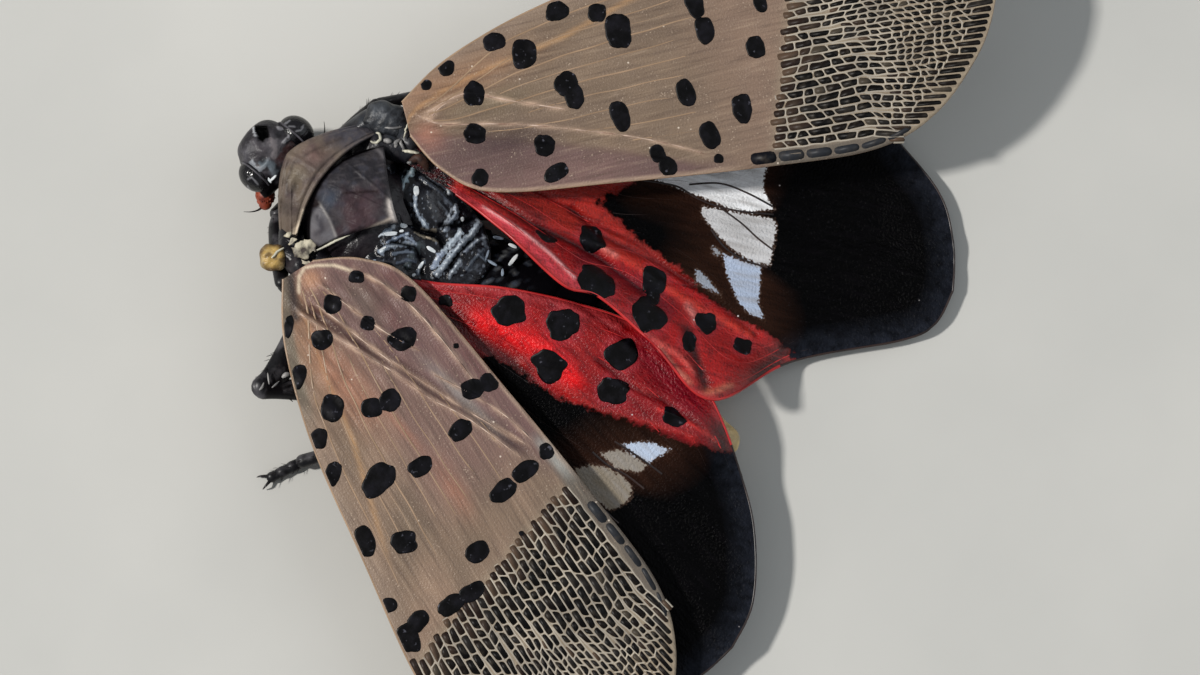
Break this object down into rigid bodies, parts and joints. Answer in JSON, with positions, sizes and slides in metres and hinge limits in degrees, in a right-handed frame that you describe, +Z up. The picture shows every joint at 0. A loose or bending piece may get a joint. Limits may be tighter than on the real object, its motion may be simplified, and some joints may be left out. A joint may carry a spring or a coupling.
{
  "type": "spotted lanternfly",
  "caption": "Life-size spotted lanternfly resting on its belly with spread spotted forewings and red, black and white hindwings.",
  "frame": {"origin": "on the floor under the insect's waist, on the flat of its belly", "axes": "+Z up out of the back, -Y towards the head, +X towards the insect's left"},
  "size_m": [0.0341, 0.0243, 0.0045],
  "materials": {
    "dark_shell": "waxy black chitin",
    "collar": "dull grey-brown chitin",
    "shield": "dull dark brown chitin",
    "abdomen": "yellow chitin with black bands",
    "eye": "glossy black",
    "antenna": "satin orange-red",
    "tegula": "glossy amber",
    "forewing": "leathery grey-brown membrane with black spots",
    "hindwing": "red, white and black membrane",
    "leg": "satin black chitin"
  },
  "bodies": {
    "root": {"abdomen": "abdomen", "antenna_left": "antenna", "antenna_right": "antenna", "eye_left": "eye", "eye_right": "eye", "forewing_left": "forewing", "forewing_right": "forewing", "head": "dark_shell", "hindwing_left": "hindwing", "hindwing_right": "hindwing", "leg_front_left_coxa": "leg", "leg_front_left_femur": "leg", "leg_front_left_tarsus": "leg", "leg_front_left_tibia": "leg", "leg_front_right_coxa": "leg", "leg_front_right_femur": "leg", "leg_front_right_tarsus": "leg", "leg_front_right_tibia": "leg", "leg_hind_left_coxa": "leg", "leg_hind_left_femur": "leg", "leg_hind_left_tarsus": "leg", "leg_hind_left_tibia": "leg", "leg_hind_right_coxa": "leg", "leg_hind_right_femur": "leg", "leg_hind_right_tarsus": "leg", "leg_hind_right_tibia": "leg", "leg_middle_left_coxa": "leg", "leg_middle_left_femur": "leg", "leg_middle_left_tarsus": "leg", "leg_middle_left_tibia": "leg", "leg_middle_right_coxa": "leg", "leg_middle_right_femur": "leg", "leg_middle_right_tarsus": "leg", "leg_middle_right_tibia": "leg", "mesonotum": "shield", "pronotum": "collar", "rostrum": "dark_shell", "tegula_left": "tegula", "tegula_right": "tegula", "thorax": "dark_shell"}
  },
  "joints": []
}
